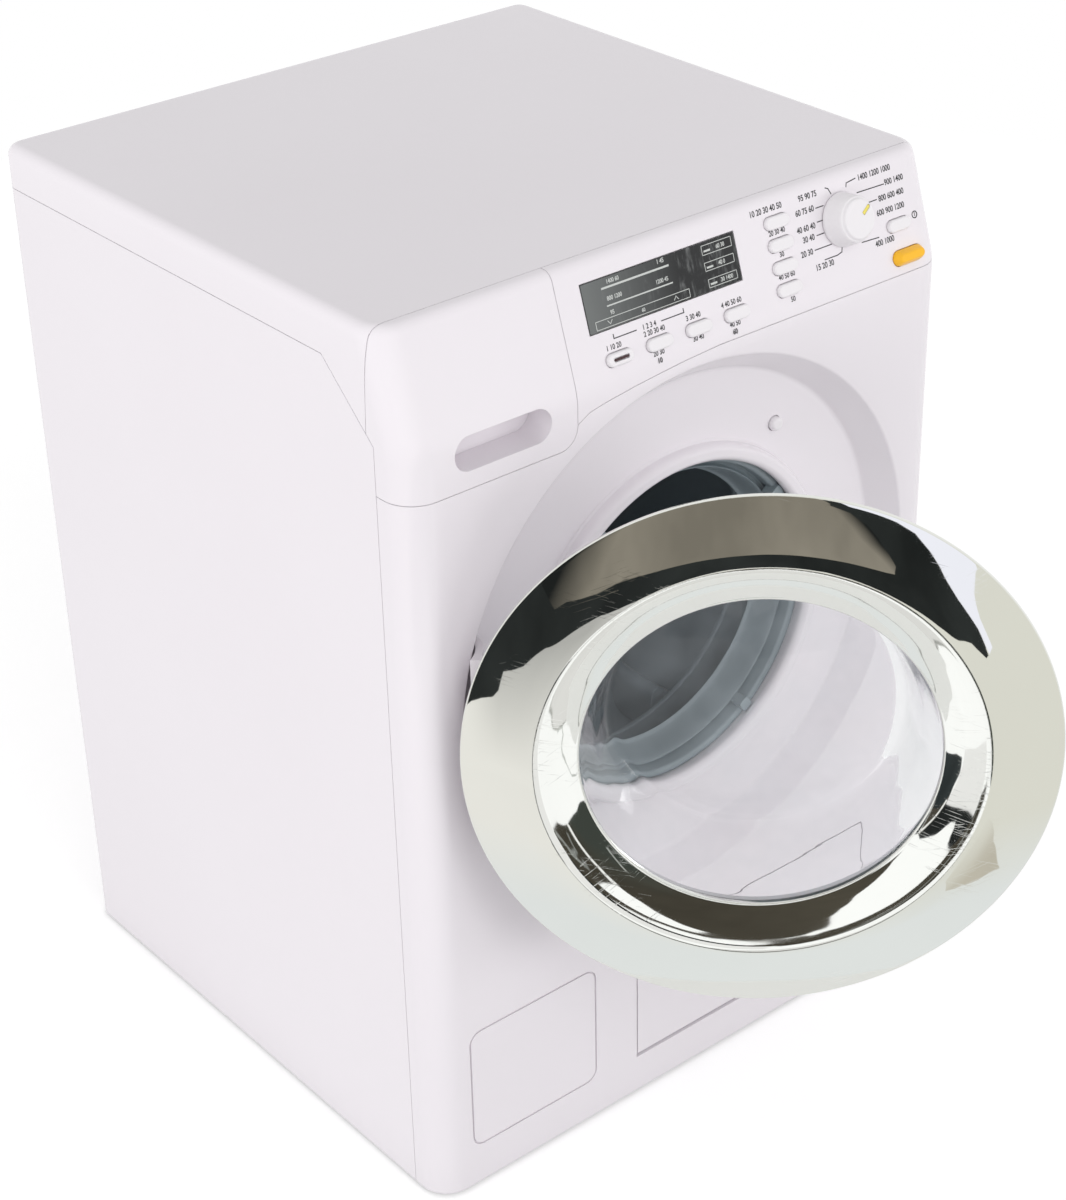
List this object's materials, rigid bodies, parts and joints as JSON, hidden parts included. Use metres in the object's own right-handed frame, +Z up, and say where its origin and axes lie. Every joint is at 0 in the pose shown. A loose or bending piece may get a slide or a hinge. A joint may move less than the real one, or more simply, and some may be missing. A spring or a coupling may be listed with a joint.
{
  "type": "toy front-loading washing machine",
  "caption": "Battery-style toy front-loader with a swinging chrome-ringed door, turning drum, program knob, push buttons, sliding detergent drawer and a hinged service flap",
  "frame": {"origin": "centre of the body's flat underside, on the floor", "axes": "+X to the machine's right seen from the front, -Y out of the front, +Z up; the door is stored swung open"},
  "size_m": [0.1844, 0.2852, 0.26],
  "materials": {
    "white_plastic": "satin white moulded plastic",
    "chrome": "bright plated ring",
    "clear": "clear moulded bowl",
    "grey_rubber": "soft grey seal",
    "grey_plastic": "matt grey drum",
    "dark_plastic": "matt black",
    "display": "glossy black window",
    "yellow": "warm yellow moulded plastic",
    "steel": "plain steel",
    "board": "green board",
    "gear": "natural gear plastic"
  },
  "bodies": {
    "cabinet": {"base_plate": "white_plastic", "battery_cover": "white_plastic", "circuit_board": "board", "control_panel": "white_plastic", "display_window": "display", "door_gasket": "grey_rubber", "door_switch": "dark_plastic", "drawer_housing": "white_plastic", "drum_bearing": "steel", "front_panel": "white_plastic", "hinge_pin": "steel", "motor": "steel", "motor_bracket": "dark_plastic", "side_shell": "white_plastic", "speaker": "dark_plastic", "top_cover": "white_plastic", "tub": "dark_plastic", "tub_front": "dark_plastic"},
    "door": {"door_ring": "chrome", "door_frame": "white_plastic", "door_bowl": "clear", "latch_hook": "white_plastic"},
    "drum": {"drum": "grey_plastic", "drum_lifter_1": "grey_plastic", "drum_lifter_2": "grey_plastic", "drum_lifter_3": "grey_plastic", "drum_shaft": "steel", "drum_gear": "gear"},
    "pinion": {"motor_pinion": "gear"},
    "knob": {"program_knob": "white_plastic", "knob_pointer": "yellow"},
    "start": {"start_button": "white_plastic", "start_lens": "dark_plastic"},
    "row_1": {"row_button_1": "white_plastic"},
    "row_2": {"row_button_2": "white_plastic"},
    "row_3": {"row_button_3": "white_plastic"},
    "column_1": {"column_button_1": "white_plastic"},
    "column_2": {"column_button_2": "white_plastic"},
    "column_3": {"column_button_3": "white_plastic"},
    "column_4": {"column_button_4": "white_plastic"},
    "power": {"power_button": "white_plastic"},
    "release": {"door_button": "yellow"},
    "latch": {"latch_slider": "white_plastic"},
    "switch": {"switch_pin": "white_plastic"},
    "drawer": {"drawer_front": "white_plastic", "drawer_tray": "white_plastic"},
    "flap": {"service_flap": "white_plastic"}
  },
  "joints": [
    {"name": "door_hinge", "type": "hinge", "parent": "cabinet", "child": "door", "pos_m": [-0.0821, -0.0815, 0.1468], "axis": [0, 0, 1], "range_deg": [-44, 40.8]},
    {"name": "drum_spin", "type": "hinge", "parent": "cabinet", "child": "drum", "pos_m": [0.0009, 0, 0.1468], "axis": [0, 1, 0], "continuous": true},
    {"name": "pinion_spin", "type": "hinge", "parent": "cabinet", "child": "pinion", "pos_m": [0.0009, 0, 0.1068], "axis": [0, 1, 0], "continuous": true},
    {"name": "knob_turn", "type": "hinge", "parent": "cabinet", "child": "knob", "pos_m": [0.0572, -0.08445, 0.2483], "axis": [0, -0.9508, 0.3098], "range_deg": [-150, 150]},
    {"name": "start_press", "type": "slide", "parent": "cabinet", "child": "start", "axis": [0, 0.9508, -0.3098], "range_m": [0, 0.0008], "stiffness_N_per_m": 150, "springref_m": -0.0004},
    {"name": "row_1_press", "type": "slide", "parent": "cabinet", "child": "row_1", "axis": [0, 0.9508, -0.3098], "range_m": [0, 0.0008], "stiffness_N_per_m": 150, "springref_m": -0.0004},
    {"name": "row_2_press", "type": "slide", "parent": "cabinet", "child": "row_2", "axis": [0, 0.9508, -0.3098], "range_m": [0, 0.0008], "stiffness_N_per_m": 150, "springref_m": -0.0004},
    {"name": "row_3_press", "type": "slide", "parent": "cabinet", "child": "row_3", "axis": [0, 0.9508, -0.3098], "range_m": [0, 0.0008], "stiffness_N_per_m": 150, "springref_m": -0.0004},
    {"name": "column_1_press", "type": "slide", "parent": "cabinet", "child": "column_1", "axis": [0, 0.9508, -0.3098], "range_m": [0, 0.0008], "stiffness_N_per_m": 150, "springref_m": -0.0004},
    {"name": "column_2_press", "type": "slide", "parent": "cabinet", "child": "column_2", "axis": [0, 0.9508, -0.3098], "range_m": [0, 0.0008], "stiffness_N_per_m": 150, "springref_m": -0.0004},
    {"name": "column_3_press", "type": "slide", "parent": "cabinet", "child": "column_3", "axis": [0, 0.9508, -0.3098], "range_m": [0, 0.0008], "stiffness_N_per_m": 150, "springref_m": -0.0004},
    {"name": "column_4_press", "type": "slide", "parent": "cabinet", "child": "column_4", "axis": [0, 0.9508, -0.3098], "range_m": [0, 0.0008], "stiffness_N_per_m": 150, "springref_m": -0.0004},
    {"name": "power_press", "type": "slide", "parent": "cabinet", "child": "power", "axis": [0, 0.9508, -0.3098], "range_m": [0, 0.0008], "stiffness_N_per_m": 150, "springref_m": -0.0004},
    {"name": "release_press", "type": "slide", "parent": "cabinet", "child": "release", "axis": [0, 0.9508, -0.3098], "range_m": [0, 0.002], "stiffness_N_per_m": 150, "springref_m": -0.0006},
    {"name": "latch_slide", "type": "slide", "parent": "cabinet", "child": "latch", "axis": [0, 0, -1], "range_m": [0, 0.0025], "stiffness_N_per_m": 100, "springref_m": -0.001},
    {"name": "switch_press", "type": "slide", "parent": "cabinet", "child": "switch", "axis": [0, 1, 0], "range_m": [0, 0.001], "stiffness_N_per_m": 80, "springref_m": -0.0004},
    {"name": "drawer_slide", "type": "slide", "parent": "cabinet", "child": "drawer", "axis": [0, -1, 0], "range_m": [0, 0.036]},
    {"name": "flap_turn", "type": "hinge", "parent": "cabinet", "child": "flap", "pos_m": [0.0281, -0.08895, 0.014], "axis": [1, 0, 0], "range_deg": [0, 85]}
  ],
  "couplings": [
    {"joint": "pinion_spin", "follows": "drum_spin", "ratio": -3},
    {"joint": "latch_slide", "follows": "release_press", "ratio": 1.25}
  ]
}
